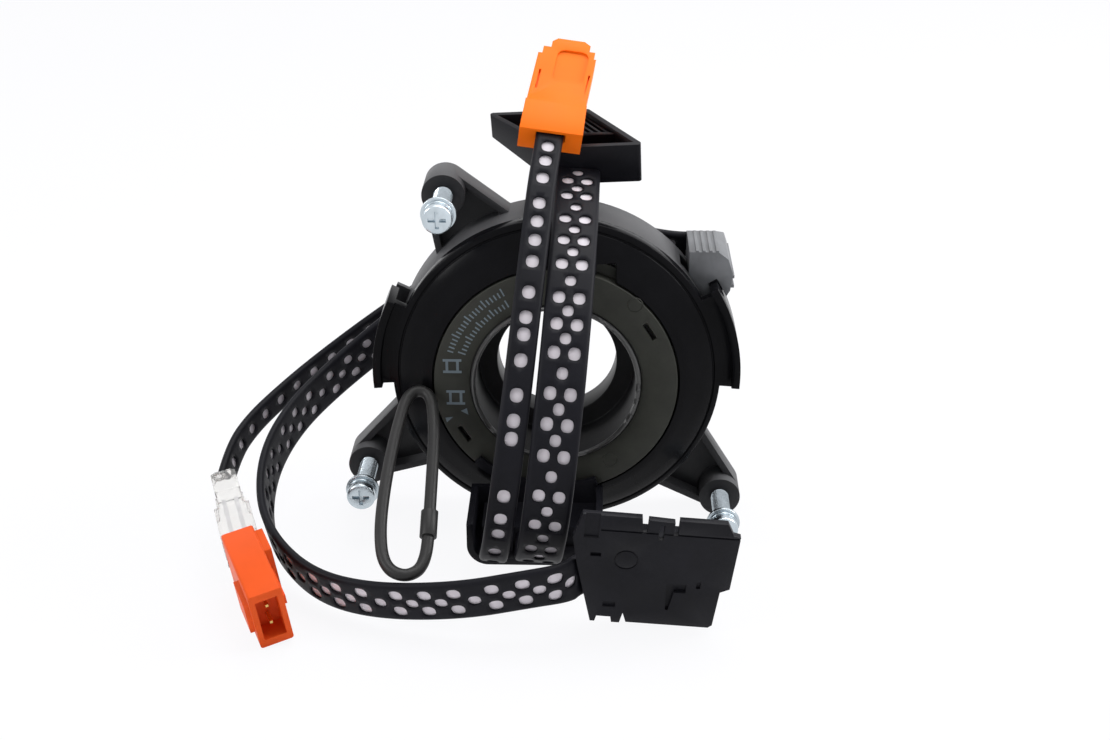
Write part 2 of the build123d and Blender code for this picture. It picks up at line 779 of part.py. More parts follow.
# Orange plug of the narrow column strap, standing on its narrow side
column_plug_plane = Plane(origin=column_plug_mouth, x_dir=column_plug_across, z_dir=column_plug_along)
column_half_width = column_plug_size[0] / 2
column_half_height = column_plug_size[1] / 2
column_plug_back = column_plug_plane.offset(-column_plug_size[2])
with BuildPart() as column_airbag_plug:
    with BuildSketch(column_plug_plane):
        Rectangle(column_plug_size[0], column_plug_size[1])
    extrude(amount=-column_plug_size[2])
    lengthwise = Axis(column_plug_plane.origin, column_plug_plane.z_dir)
    fillet(column_airbag_plug.edges().filter_by(lengthwise), radius=0.8)
    with BuildSketch(column_plug_plane):
        Rectangle(column_plug_cavity[0], column_plug_cavity[1])
    extrude(amount=-column_plug_cavity[2], mode=Mode.SUBTRACT)
    # Latch block and rail on the side that faces the drum, and a rail on the other
    side_plane = Plane(
        origin=column_plug_plane.from_local_coords((column_half_width, 0, 0)),
        x_dir=column_plug_plane.z_dir,
        z_dir=column_plug_plane.x_dir,
    )
    extrude(bar(side_plane, -31, -20, -column_half_height + 1, column_half_height - 1), amount=2.2)
    extrude(bar(side_plane, -20, -6, -1.5, 1.5), amount=1.2)
    rail_plane = side_plane.offset(-column_plug_size[0])
    extrude(bar(rail_plane, -15, -3, -5, 5), amount=-1.4)
save(column_airbag_plug.part, "column_airbag_plug")

with BuildPart() as column_airbag_pins:
    with BuildSketch(column_plug_plane.offset(-column_plug_cavity[2])):
        with Locations((0, -3), (0, 3)):
            Rectangle(column_plug_pin[0], column_plug_pin[0])
    extrude(amount=column_plug_pin[1])
save(column_airbag_pins.part, "column_airbag_pins")

# Clear cap between the narrow column strap and its plug
cap_plane = strap_end_plane(made_straps["column_narrow_strap"], column_narrow_route, column_narrow_across)
with BuildPart() as column_airbag_cap:
    with BuildSketch(cap_plane):
        Rectangle(narrow_strap + 2 * collar_margin, strap_wall + 2 * collar_margin)
    with BuildSketch(column_plug_back):
        with Locations((0, 2)):
            Rectangle(column_plug_size[0] - 2, column_plug_size[1] - 6)
    loft(ruled=True)
save(column_airbag_cap.part, "column_airbag_cap")

# Black connector of the wide column strap: a front cover plate and a body with a socket behind it
switch_plane = Plane(origin=column_switch_origin, x_dir=column_switch_across, z_dir=column_switch_facing)
with BuildPart() as column_switch_cover:
    extrude(outline(switch_plane, column_switch_outline), amount=-switch_cover_wall)
    # Moulded steps, windows and a gate mark in the front face
    extrude(bar(switch_plane, -21.5, -17.5, 30.2, 39), amount=-0.8, mode=Mode.SUBTRACT)
    extrude(bar(switch_plane, -17, 22, 33, 33.6), amount=-0.4, mode=Mode.SUBTRACT)
    extrude(bar(switch_plane, -19.2, -16.2, 23.8, 25.2), amount=-1, mode=Mode.SUBTRACT)
    extrude(bar(switch_plane, -14.2, -10.6, 5.6, 7.6), amount=-0.8, mode=Mode.SUBTRACT)
    extrude(bar(switch_plane, 11.4, 12.6, 14.6, 17), amount=-0.8, mode=Mode.SUBTRACT)
    extrude(bar(switch_plane, -1, 0.4, 31, 36.4), amount=-switch_cover_wall, mode=Mode.SUBTRACT)
    extrude(
        outline(switch_plane, [(3, 15.7), (8.7, 15.7), (8.7, 12.6), (5.4, 12.6), (4.4, 6), (3.6, 6)]),
        amount=-1.2,
        mode=Mode.SUBTRACT,
    )
    with BuildSketch(switch_plane):
        with Locations((-9.1, 23.3)):
            Circle(3.4)
            Circle(3.0, mode=Mode.SUBTRACT)
    extrude(amount=-0.3, mode=Mode.SUBTRACT)
save(column_switch_cover.part, "column_switch_cover")

body_left, body_right, body_low, body_high = switch_body
body_plane = switch_plane.offset(-switch_cover_wall)
socket_plane = body_plane.offset(-switch_body_depth)
strap_collar_plane = strap_end_plane(made_straps["column_wide_strap"], column_wide_route, column_wide_across)
with BuildPart() as column_switch_connector:
    extrude(bar(body_plane, body_left, body_right, body_low, body_high), amount=-switch_body_depth)
    with BuildSketch(strap_collar_plane):
        Rectangle(wide_strap + 2 * collar_margin, strap_wall + 2 * collar_margin)
    extrude(amount=5)
    extrude(
        bar(socket_plane, body_left + 3.5, body_right - 3, body_low + 4, body_high - 4),
        amount=switch_cavity_depth,
        mode=Mode.SUBTRACT,
    )
    # Lead-in ribs along the top of the body
    for rib in range(5):
        rib_x = body_left + 4 + rib * 5.6
        extrude(bar(socket_plane, rib_x, rib_x + 1.4, body_high - 0.5, body_high + 1.2), amount=switch_body_depth - 1)
save(column_switch_connector.part, "column_switch_connector")

with BuildPart() as column_switch_terminals:
    with BuildSketch(socket_plane.offset(switch_cavity_depth)):
        with Locations(((body_left + body_right) / 2, (body_low + body_high) / 2)):
            with GridLocations(4, 6, 5, 2):
                Rectangle(switch_pin[0], switch_pin[0])
    extrude(amount=-switch_pin[1])
save(column_switch_terminals.part, "column_switch_terminals")

# Cord loop and the sleeve that joins its ends
loop_line = route_wire(loop_route)
loop_start = end_plane(loop_route, 0, Vector(1, 0, 0))
with BuildPart() as cord_loop:
    with BuildSketch(loop_start):
        Circle(loop_cord_r)
    sweep(path=loop_line)
print_route("cord_loop", loop_route, loop_line.length, pi * loop_cord_r**2, cord_loop.part)
save(cord_loop.part, "cord_loop")

with BuildPart() as loop_sleeve:
    with BuildSketch(end_plane(loop_route, 1, Vector(1, 0, 0))):
        Circle(sleeve_r)
    extrude(amount=(loop_line @ 0 - loop_line @ 1).length)
save(loop_sleeve.part, "loop_sleeve")
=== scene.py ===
# %% [markdown]
# # Steering clock spring
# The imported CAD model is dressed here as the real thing. The flat leads become perforated sleeves over
# a pale cable, the screws get threads, and the mouldings get soft edges, marks and a fine grain. Lengths
# are in metres in the model's own frame: Y along the steering axis, away from the driver, and Z up.

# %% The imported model
import math

import bmesh
import bpy
import numpy as np
from mathutils import Matrix, Vector
from mathutils.geometry import delaunay_2d_cdt


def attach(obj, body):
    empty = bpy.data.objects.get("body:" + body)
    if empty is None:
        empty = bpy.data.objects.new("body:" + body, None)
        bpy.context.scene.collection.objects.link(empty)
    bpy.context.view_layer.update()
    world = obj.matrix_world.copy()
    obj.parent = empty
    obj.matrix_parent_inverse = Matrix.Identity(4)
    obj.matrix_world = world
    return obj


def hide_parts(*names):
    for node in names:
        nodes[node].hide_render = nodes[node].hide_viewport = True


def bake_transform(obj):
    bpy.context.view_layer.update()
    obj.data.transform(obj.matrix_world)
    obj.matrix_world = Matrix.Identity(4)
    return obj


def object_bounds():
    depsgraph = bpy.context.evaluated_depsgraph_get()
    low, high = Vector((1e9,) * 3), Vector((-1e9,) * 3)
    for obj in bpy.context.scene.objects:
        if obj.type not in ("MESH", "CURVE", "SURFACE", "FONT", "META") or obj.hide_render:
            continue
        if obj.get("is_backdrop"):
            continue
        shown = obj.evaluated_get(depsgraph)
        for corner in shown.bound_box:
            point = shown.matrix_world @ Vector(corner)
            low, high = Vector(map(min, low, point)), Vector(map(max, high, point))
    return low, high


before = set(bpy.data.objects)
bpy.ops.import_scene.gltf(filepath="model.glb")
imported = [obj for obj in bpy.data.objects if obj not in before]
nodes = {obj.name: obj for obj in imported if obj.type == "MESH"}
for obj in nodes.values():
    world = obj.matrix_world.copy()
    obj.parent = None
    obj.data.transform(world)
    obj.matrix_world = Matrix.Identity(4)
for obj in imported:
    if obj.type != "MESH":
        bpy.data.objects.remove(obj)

cad_low, cad_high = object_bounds()
MM = 0.001
print("CAD box in mm:", [round(x / MM, 1) for x in cad_high - cad_low])

# %% [markdown]
# ## Camera
# The camera looks down on the drum from in front. A camera can be aimed with a constraint, but its three
# directions and its place written out as one matrix leave nothing for Blender to work out later.

# %% Camera
view_right = Vector((0.99972, 0.02369, 0.0))
view_up = Vector((-0.01018, 0.42976, 0.90289))
view_back = Vector((0.02139, -0.90264, 0.42988))
CAMERA_PLACE = (0.0103, -0.4708, 0.2160)
LENS_MM, SENSOR_MM, NEAREST_SEEN = 53.13, 36, 0.01
camera_data = bpy.data.cameras.new("camera")
camera_data.lens = LENS_MM
camera_data.sensor_width = SENSOR_MM
camera_data.clip_start = NEAREST_SEEN
camera = bpy.data.objects.new("camera", camera_data)
facing = Matrix((view_right, view_up, view_back)).transposed().to_4x4()
camera.matrix_world = Matrix.Translation(CAMERA_PLACE) @ facing
bpy.context.scene.collection.objects.link(camera)
bpy.context.scene.camera = camera

# %% [markdown]
# ## Routes of the leads
# The same points as in the CAD source, in millimetres there and in metres here. Each lead follows a
# NURBS spline with these control points, and its width leans along a direction of its own. The spline is
# read back as points by length, so that holes can be set out on a flat strip first and bent later.

# %% Routes
WIDE, NARROW, STRAP_WALL = 13.6 * MM, 8.2 * MM, 2.5 * MM
LOOP_CORD_R = 1.8 * MM
wheel_wide_route = [
    (-0.0049, -0.044, -0.0434),
    (-0.005, -0.063, -0.0443),
    (-0.0015, -0.0765, -0.0185),
    (0.0018, -0.0673, 0.0118),
    (0.0039, -0.051, 0.0327),
    (0.0055, -0.0278, 0.0499),
    (0.00603, 0.003, 0.057),
]
wheel_narrow_route = [
    (-0.0181, -0.044, -0.0434),
    (-0.0182, -0.063, -0.0443),
    (-0.0142, -0.0765, -0.0185),
    (-0.0103, -0.0673, 0.0118),
    (-0.0077, -0.051, 0.0336),
    (-0.0057, -0.0345, 0.0497),
    (-0.0039, -0.017, 0.064),
    (-0.0019, -0.0029, 0.0719),
]
column_wide_route = [
    (0.0395, 0.0055, 0.0306),
    (0.034, 0.0055, 0.0306),
    (0.016, 0.0055, 0.0345),
    (-0.012, 0.013, 0.027),
    (-0.037, 0.022, 0.009),
    (-0.057, 0.024, -0.007),
    (-0.074, 0.014, -0.0185),
    (-0.085, -0.003, -0.0248),
    (-0.09, -0.023, -0.0305),
    (-0.0883, -0.043, -0.037),
    (-0.081, -0.0575, -0.042),
    (-0.068, -0.0705, -0.0452),
    (-0.05, -0.0794, -0.044),
    (-0.026, -0.0848, -0.0399),
    (-0.006, -0.085, -0.0355),
    (0.004, -0.0831, -0.0346),
    (0.0086, -0.0759, -0.0354),
    (0.014, -0.0744, -0.0352),
]
column_narrow_route = [
    (0.0395, 0.01, 0.0298),
    (0.034, 0.01, 0.0298),
    (0.016, 0.01, 0.034),
    (-0.01, 0.019, 0.028),
    (-0.037, 0.03, 0.012),
    (-0.06, 0.033, -0.005),
    (-0.079, 0.024, -0.017),
    (-0.091, 0.009, -0.023),
    (-0.0985, -0.004, -0.0268),
    (-0.1022, -0.017, -0.03),
    (-0.1026, -0.029, -0.034),
]
loop_route = [
    (-0.0356, -0.062, -0.0245),
    (-0.0356, -0.05, -0.0165),
    (-0.0358, -0.039, -0.0093),
    (-0.0376, -0.0278, -0.0026),
    (-0.0444, -0.0278, -0.0024),
    (-0.047, -0.039, -0.0092),
    (-0.049, -0.054, -0.0186),
    (-0.0496, -0.068, -0.0276),
    (-0.0475, -0.0775, -0.0336),
    (-0.041, -0.0806, -0.0352),
    (-0.0356, -0.07597, -0.03381),
    (-0.0356, -0.068656, -0.028937),
]
wheel_wide_across = Vector((0.9973, 0, -0.0735))
wheel_narrow_across = Vector((0.9908, 0, -0.1353))
column_wide_across = Vector((-0.17, -0.17, 0.97))
column_narrow_across = Vector((-0.3, -0.35, 0.89))


def route_curve(name, route):
    """A curve of one open NURBS spline with the route's points as its control points."""
    curve = bpy.data.curves.new(name, "CURVE")
    curve.dimensions = "3D"
    curve.resolution_u = 32
    spline = curve.splines.new("NURBS")
    spline.points.add(len(route) - 1)
    for point, place in zip(spline.points, route):
        point.co = (*place, 1)
    spline.order_u = 3
    spline.use_endpoint_u = True
    return curve


class Line:
    """A route's spline, read back so that pieces can follow it by length."""

    def __init__(self, name, route, across):
        curve = route_curve(name, route)
        bare = bpy.data.objects.new(name, curve)
        mesh = bpy.data.meshes.new_from_object(bare)
        self.points = np.array([v.co for v in mesh.vertices], float)
        bpy.data.meshes.remove(mesh)
        bpy.data.curves.remove(curve)
        steps = np.linalg.norm(np.diff(self.points, axis=0), axis=1)
        self.along = np.concatenate([[0], np.cumsum(steps)])
        self.length = float(self.along[-1])
        heading = np.gradient(self.points, self.along, axis=0)
        self.heading = heading / np.linalg.norm(heading, axis=1)[:, None]
        self.across = np.array(across.normalized())

    def read(self, s, table):
        return np.stack([np.interp(s, self.along, table[:, k]) for k in range(3)], axis=-1)

    def place(self, flat):
        """Points (along, across, off the strap) as points of the model."""
        s, u, h = np.array(flat, float).T
        heading = self.read(s, self.heading)
        heading /= np.linalg.norm(heading, axis=1)[:, None]
        width = self.across - (heading @ self.across)[:, None] * heading
        width /= np.linalg.norm(width, axis=1)[:, None]
        off = np.cross(heading, width)
        return self.read(s, self.points) + u[:, None] * width + h[:, None] * off


lines = {
    "wheel_wide": Line("wheel_wide", wheel_wide_route, wheel_wide_across),
    "wheel_narrow": Line("wheel_narrow", wheel_narrow_route, wheel_narrow_across),
    "column_wide": Line("column_wide", column_wide_route, column_wide_across),
    "column_narrow": Line("column_narrow", column_narrow_route, column_narrow_across),
}
for name, line in lines.items():
    print(name, "spline length in mm:", round(line.length / MM, 1))


# %% [markdown]
# ## Materials
# Moulded plastic is never quite even. One helper makes every solid finish from noise on object
# coordinates: a fine grain in the bump, a slow change of colour and gloss, and a little pale dust where
# faces look up. It can also paint a sheen, a paler colour on faces looking up, that stands for the light
# falling on them from above. Object coordinates stay with a piece when it moves, and need no unwrapping.

# %% Material kit
# The pale grey of the painted sheen that lightens faces looking up, as if lit from above
SHEEN_COLOUR = (0.3, 0.3, 0.31, 1)
DUST_COLOUR = (0.35, 0.34, 0.32, 1)
BUMP_DEPTH = 0.1 * MM


def node_of(tree, kind, **values):
    """A shader node with some of its inputs or settings given."""
    node = tree.nodes.new(kind)
    for key, value in values.items():
        if key in node.inputs:
            node.inputs[key].default_value = value
        else:
            setattr(node, key, value)
    return node


def finish_of(
    name,
    colour,
    rough,
    grain=0.0,
    grain_size=0.25,
    change=0.25,
    dust=0.0,
    metal=0.0,
    specular=0.5,
    scratches=0.0,
    top_sheen=0.0,
):
    """A plastic, metal or rubber finish. Grain size is in mm; the last argument paints a sheen, a paler
    colour on faces looking up, for light from above.
    """
    material = bpy.data.materials.new(name)
    material.use_nodes = True
    tree = material.node_tree
    link = tree.links.new
    shader = tree.nodes["Principled BSDF"]
    shader.inputs["Metallic"].default_value = metal
    shader.inputs["Specular IOR Level"].default_value = specular
    place = node_of(tree, "ShaderNodeTexCoord")
    slow = node_of(tree, "ShaderNodeTexNoise", Scale=60.0, Detail=4.0, Roughness=0.6)
    per_metre = 1.0 / (grain_size * MM)
    fine = node_of(tree, "ShaderNodeTexNoise", Scale=per_metre, Detail=3.0, Roughness=0.6)
    link(place.outputs["Object"], slow.inputs["Vector"])
    link(place.outputs["Object"], fine.inputs["Vector"])
    # Colour: the slow noise moves it a little either way
    dark = [c * (1 - change) for c in colour]
    light = [min(1.0, c * (1 + change)) for c in colour]
    ramp = node_of(tree, "ShaderNodeValToRGB")
    ramp.color_ramp.elements[0].color = (*dark, 1)
    ramp.color_ramp.elements[1].color = (*light, 1)
    ramp.color_ramp.elements[0].position = 0.3
    ramp.color_ramp.elements[1].position = 0.7
    link(slow.outputs["Fac"], ramp.inputs["Fac"])
    base = ramp.outputs["Color"]
    # Painted sheen: faces looking up are mixed toward a pale grey that stands for light from above
    if top_sheen:
        turned = node_of(tree, "ShaderNodeNewGeometry")
        height = node_of(tree, "ShaderNodeSeparateXYZ")
        link(turned.outputs["Normal"], height.inputs["Vector"])
        sheen_amount = node_of(tree, "ShaderNodeMapRange", interpolation_type="SMOOTHSTEP")
        sheen_amount.inputs["From Min"].default_value = 0.15
        sheen_amount.inputs["From Max"].default_value = 0.8
        sheen_amount.inputs["To Max"].default_value = top_sheen
        link(height.outputs["Z"], sheen_amount.inputs["Value"])
        sheened = node_of(tree, "ShaderNodeMixRGB")
        sheened.inputs["Color2"].default_value = SHEEN_COLOUR
        link(sheen_amount.outputs["Result"], sheened.inputs["Fac"])
        link(base, sheened.inputs["Color1"])
        base = sheened.outputs["Color"]
    if dust:
        facing_up = node_of(tree, "ShaderNodeNewGeometry")
        parts = node_of(tree, "ShaderNodeSeparateXYZ")
        link(facing_up.outputs["Normal"], parts.inputs["Vector"])
        specks = node_of(tree, "ShaderNodeTexNoise", Scale=900.0, Detail=5.0, Roughness=0.75)
        link(place.outputs["Object"], specks.inputs["Vector"])
        held = node_of(tree, "ShaderNodeMapRange")
        held.inputs["From Min"].default_value = 0.5
        held.inputs["From Max"].default_value = 0.75
        link(specks.outputs["Fac"], held.inputs["Value"])
        upward = node_of(tree, "ShaderNodeMapRange")
        upward.inputs["From Min"].default_value = -0.2
        upward.inputs["To Min"].default_value = 0.15 * dust
        upward.inputs["To Max"].default_value = dust
        link(parts.outputs["Z"], upward.inputs["Value"])
        amount = node_of(tree, "ShaderNodeMath", operation="MULTIPLY")
        link(held.outputs["Result"], amount.inputs[0])
        link(upward.outputs["Result"], amount.inputs[1])
        dusty = node_of(tree, "ShaderNodeMixRGB")
        dusty.inputs["Color2"].default_value = DUST_COLOUR
        link(amount.outputs["Value"], dusty.inputs["Fac"])
        link(base, dusty.inputs["Color1"])
        base = dusty.outputs["Color"]
    link(base, shader.inputs["Base Color"])
    gloss = node_of(tree, "ShaderNodeMapRange")
    gloss.inputs["To Min"].default_value = max(0.03, rough * 0.8)
    gloss.inputs["To Max"].default_value = min(1.0, rough * 1.2)
    link(slow.outputs["Fac"], gloss.inputs["Value"])
    link(gloss.outputs["Result"], shader.inputs["Roughness"])
    height = fine.outputs["Fac"]
    if scratches:
        stretched = node_of(tree, "ShaderNodeMapping")
        stretched.inputs["Scale"].default_value = (1.0, 0.06, 1.0)
        link(place.outputs["Object"], stretched.inputs["Vector"])
        streaks = node_of(tree, "ShaderNodeTexNoise", Scale=2500.0, Detail=3.0)
        link(stretched.outputs["Vector"], streaks.inputs["Vector"])
        both = node_of(tree, "ShaderNodeMath", operation="MULTIPLY_ADD")
        both.inputs[1].default_value = scratches
        link(streaks.outputs["Fac"], both.inputs[0])
        link(height, both.inputs[2])
        height = both.outputs["Value"]
    bump = node_of(tree, "ShaderNodeBump", Strength=grain, Distance=BUMP_DEPTH)
    link(height, bump.inputs["Height"])
    link(bump.outputs["Normal"], shader.inputs["Normal"])
    return material


# %% Materials
# The housing's black carries a painted sheen on faces looking up
satin_black = finish_of(
    "satin_black", (0.022, 0.022, 0.024),
    0.45, grain=0.25, grain_size=0.3, dust=0.03, specular=0.2, top_sheen=0.2
)
cover_gloss = finish_of(
    "cover_gloss", (0.0045, 0.0045, 0.0055),
    0.22, grain=0.05, grain_size=0.6, dust=0.005, specular=0.06
)
rotor_matt = finish_of(
    "rotor_matt", (0.036, 0.037, 0.031),
    0.55, grain=0.3, grain_size=0.25, dust=0.02, specular=0.2
)
hub_satin = finish_of(
    "hub_satin", (0.012, 0.012, 0.013),
    0.38, grain=0.12, grain_size=0.3, dust=0.02, specular=0.15
)
outlet_grey = finish_of(
    "outlet_grey", (0.16, 0.165, 0.175),
    0.5, grain=0.3, grain_size=0.25, dust=0.05
)
connector_black = finish_of(
    "connector_black", (0.008, 0.008, 0.011),
    0.4, grain=0.3, grain_size=0.35, dust=0.02, specular=0.12
)
sleeve_black = finish_of(
    "sleeve_black", (0.007, 0.007, 0.01),
    0.5, grain=0.15, grain_size=0.4, dust=0.01, specular=0.12
)
cable_white = finish_of(
    "cable_white", (0.74, 0.69, 0.735),
    0.5, grain=0.1, grain_size=0.8, change=0.06, specular=0.2
)
loop_rubber = finish_of(
    "loop_rubber", (0.014, 0.0135, 0.0135),
    0.45, grain=0.2, grain_size=0.3, dust=0.02, specular=0.3
)
orange_bright = finish_of(
    "orange_bright", (1.0, 0.175, 0.006),
    0.4, grain=0.05, grain_size=0.5, change=0.05, specular=0.1
)
orange_salmon = finish_of(
    "orange_salmon", (0.78, 0.095, 0.014),
    0.4, grain=0.06, grain_size=0.5, change=0.05, specular=0.1
)
zinc = finish_of(
    "zinc", (0.5, 0.56, 0.6),
    0.24, grain=0.3, grain_size=0.7, change=0.3, metal=1.0, scratches=0.6
)
brass = finish_of("brass", (0.72, 0.5, 0.16), 0.3, grain=0.05, metal=1.0)
# The lip is the hub's own plastic in a lighter colour than the hub: a painted highlight along the rolled
# rim
lip_painted_highlight = finish_of(
    "lip_painted_highlight", (0.045, 0.045, 0.045),
    0.35, grain=0.1, grain_size=0.3, specular=0.6
)
ribbon_film = finish_of("ribbon_film", (0.6, 0.6, 0.57), 0.3, grain=0.02, change=0.1)
slip_film = finish_of("slip_film", (0.7, 0.7, 0.68), 0.5, grain=0.05, change=0.1)


CLEAR_SHARE, CLEAR_IOR, CLEAR_WAVE = 0.85, 1.49, 0.2 * MM


def clear_finish(name, colour, rough):
    """Clear moulded plastic, with a slight wave in its surface."""
    material = bpy.data.materials.new(name)
    material.use_nodes = True
    tree = material.node_tree
    shader = tree.nodes["Principled BSDF"]
    shader.inputs["Base Color"].default_value = (*colour, 1)
    shader.inputs["Transmission Weight"].default_value = CLEAR_SHARE
    shader.inputs["IOR"].default_value = CLEAR_IOR
    place = node_of(tree, "ShaderNodeTexCoord")
    noise = node_of(tree, "ShaderNodeTexNoise", Scale=700.0, Detail=2.0)
    tree.links.new(place.outputs["Object"], noise.inputs["Vector"])
    gloss = node_of(tree, "ShaderNodeMapRange")
    gloss.inputs["To Min"].default_value = rough
    gloss.inputs["To Max"].default_value = rough * 2
    tree.links.new(noise.outputs["Fac"], gloss.inputs["Value"])
    tree.links.new(gloss.outputs["Result"], shader.inputs["Roughness"])
    bump = node_of(tree, "ShaderNodeBump", Strength=0.15, Distance=CLEAR_WAVE)
    tree.links.new(noise.outputs["Fac"], bump.inputs["Height"])
    tree.links.new(bump.outputs["Normal"], shader.inputs["Normal"])
    return material


cap_clear = clear_finish("cap_clear", (0.93, 0.92, 0.9), 0.08)
crimp_tin = finish_of(
    "crimp_tin", (0.66, 0.66, 0.68),
    0.4, grain=0.2, grain_size=0.5, change=0.15, metal=0.8
)

# %% [markdown]
# ## Perforated leads
# Each lead is a flat sleeve with rounded edges. Punched holes on both faces show the pale cable inside.
# A boolean could cut them, but a hundred cuts in a bent strip are slow and leave ragged faces. So the
# sleeve's faces are triangulated flat, with the holes left out, and then bent along the line.


# %% Sleeve kit
SAME_POINT = 1e-7  # corners closer than this are one corner


def bmesh_piece(name, bm, material, smooth=True):
    """Close, turn outwards and link a shape drawn with bmesh."""
    bmesh.ops.remove_doubles(bm, verts=bm.verts, dist=SAME_POINT)
    bmesh.ops.recalc_face_normals(bm, faces=bm.faces)
    for face in bm.faces:
        face.smooth = smooth
    mesh = bpy.data.meshes.new(name)
    bm.to_mesh(mesh)
    bm.free()
    mesh.materials.append(material)
    piece = bpy.data.objects.new(name, mesh)
    bpy.context.scene.collection.objects.link(piece)
    return piece


def bent_piece(name, points, faces, material):
    """A piece from the points and faces of a strip that was laid out flat and bent."""
    flat = bpy.data.meshes.new("bent")
    flat.from_pydata([tuple(v) for v in points], [], faces)
    bm = bmesh.new()
    bm.from_mesh(flat)
    bpy.data.meshes.remove(flat)
    return bmesh_piece(name, bm, material)


HOLE_SIDES = 24
HOLE_STRETCH, HOLE_SQUARE = 1.08, 2.5
CLEAR_OF_HOLE, INSIDE_HOLE = 1.25, 0.98


def hole_rim(s, u, radius):
    """The points of a punched hole: a rounded square, a little longer along the lead."""
    rim = []
    for i in range(HOLE_SIDES):
        turn = 2 * math.pi * i / HOLE_SIDES
        c, d = math.cos(turn), math.sin(turn)
        reach = radius / (abs(c) ** HOLE_SQUARE + abs(d) ** HOLE_SQUARE) ** (1 / HOLE_SQUARE)
        rim.append((s + HOLE_STRETCH * reach * c, u + reach * d))
    return rim


def in_hole(s, u, hole, share):
    """Whether a point is inside a share of a hole."""
    hs, hu, hr = hole
    along, across = abs(s - hs) / HOLE_STRETCH, abs(u - hu)
    return (along**HOLE_SQUARE + across**HOLE_SQUARE) ** (1 / HOLE_SQUARE) < hr * share


def flat_sheet(length, half_width, step, holes):
    """A flat strip (along, across) with holes (along, across, radius), as points and triangles."""
    rows = int(round(length / step))
    places = [length * i / rows for i in range(rows + 1)]
    points = [(s, -half_width) for s in places] + [(s, half_width) for s in reversed(places)]
    edges = [(i, (i + 1) % len(points)) for i in range(len(points))]
    columns = max(2, int(round(2 * half_width / step)))
    for s in places[1:-1]:
        for k in range(1, columns):
            u = -half_width + 2 * half_width * k / columns
            if not any(in_hole(s, u, hole, CLEAR_OF_HOLE) for hole in holes):
                points.append((s, u))
    for hs, hu, hr in holes:
        first = len(points)
        points += hole_rim(hs, hu, hr)
        edges += [(first + i, first + (i + 1) % HOLE_SIDES) for i in range(HOLE_SIDES)]
    made, _, faces, *_ = delaunay_2d_cdt([Vector(p) for p in points], edges, [], 1, 1e-9)
    kept = []
    for face in faces:
        s = sum(made[i][0] for i in face) / len(face)
        u = sum(made[i][1] for i in face) / len(face)
        if not any(in_hole(s, u, hole, INSIDE_HOLE) for hole in holes):
            kept.append(tuple(face))
    return [(p[0], p[1]) for p in made], kept, places


SLEEVE_WALL, SLEEVE_STEP, EDGE_TURNS = 0.5 * MM, 1.6 * MM, 6
BURR, BURR_DEPTH = 0.97, 0.12 * MM


def sleeve(name, line, width, holes, material):
    """A perforated flat sleeve along a line."""
    edge_r = STRAP_WALL / 2
    half = width / 2 - edge_r
    flat, faces, places = flat_sheet(line.length, half, SLEEVE_STEP, holes)
    points, tris = [], []
    for side in (1, -1):
        first = len(points)
        points += [(s, u, side * edge_r) for s, u in flat]
        tris += [tuple(first + i for i in face) for face in faces]
        for hs, hu, hr in holes:
            lower_r = hr * BURR
            rings = ((hr, edge_r), (lower_r, edge_r - BURR_DEPTH), (lower_r, edge_r - SLEEVE_WALL))
            for (outer_r, outer_h), (inner_r, inner_h) in zip(rings, rings[1:]):
                first = len(points)
                for outer, inner in zip(hole_rim(hs, hu, outer_r), hole_rim(hs, hu, inner_r)):
                    points += [(*outer, side * outer_h), (*inner, side * inner_h)]
                for i in range(HOLE_SIDES):
                    a, b = first + 2 * i, first + 2 * ((i + 1) % HOLE_SIDES)
                    tris.append((a, b, b + 1, a + 1))
    for side in (1, -1):
        first = len(points)
        for s in places:
            for k in range(EDGE_TURNS + 1):
                turn = math.pi * (0.5 - k / EDGE_TURNS)
                points.append((s, side * (half + edge_r * math.cos(turn)), edge_r * math.sin(turn)))
        for i in range(len(places) - 1):
            for k in range(EDGE_TURNS):
                a = first + i * (EDGE_TURNS + 1) + k
                b = a + EDGE_TURNS + 1
                tris.append((a, a + 1, b + 1, b))
    return bent_piece(name, line.place(points), tris, material)


CABLE_STEP, CABLE_CORNER = 1.5 * MM, 0.7


def band(name, line, half_width, half_height, material):
    """A plain flat cable along a line, with soft long edges."""
    rows = int(round(line.length / CABLE_STEP))
    corner = half_height * CABLE_CORNER
    section = []
    for centre, first_turn in (
        ((half_width - corner, half_height - corner), 90),
        ((half_width - corner, corner - half_height), 0),
        ((corner - half_width, corner - half_height), -90),
        ((corner - half_width, half_height - corner), -180),
    ):
        for k in range(4):
            turn = math.radians(first_turn - 30 * k)
            u, h = centre[0] + corner * math.cos(turn), centre[1] + corner * math.sin(turn)
            section.append((u, h))
    count = len(section)
    points, faces = [], []
    for i in range(rows + 1):
        s = line.length * i / rows
        points += [(s, u, h) for u, h in section]
    for i in range(rows):
        for k in range(count):
            a, b = i * count + k, i * count + (k + 1) % count
            faces.append((a, b, b + count, a + count))
    faces.append(tuple(range(count)))
    faces.append(tuple(rows * count + k for k in reversed(range(count))))
    return bent_piece(name, line.place(points), faces, material)


PAIR_SPACING, LAST_STEP_MM, END_MARGIN, MIDDLE_SHARE = 5.7 * MM, 9, 0.4 * MM, 0.9


def hole_rows(pairs, length, radius):
    """The wide lead's pattern: pairs of holes, and a single one midway from each pair to the next."""
    holes = []
    for s, after in zip(pairs, [*pairs[1:], pairs[-1] + LAST_STEP_MM]):
        middle = (s + after) / 2 * MM
        holes += [(s * MM, -PAIR_SPACING / 2, radius), (s * MM, PAIR_SPACING / 2, radius)]
        if middle < length - radius - END_MARGIN:
            holes.append((middle, 0.0, radius * MIDDLE_SHARE))
    return holes


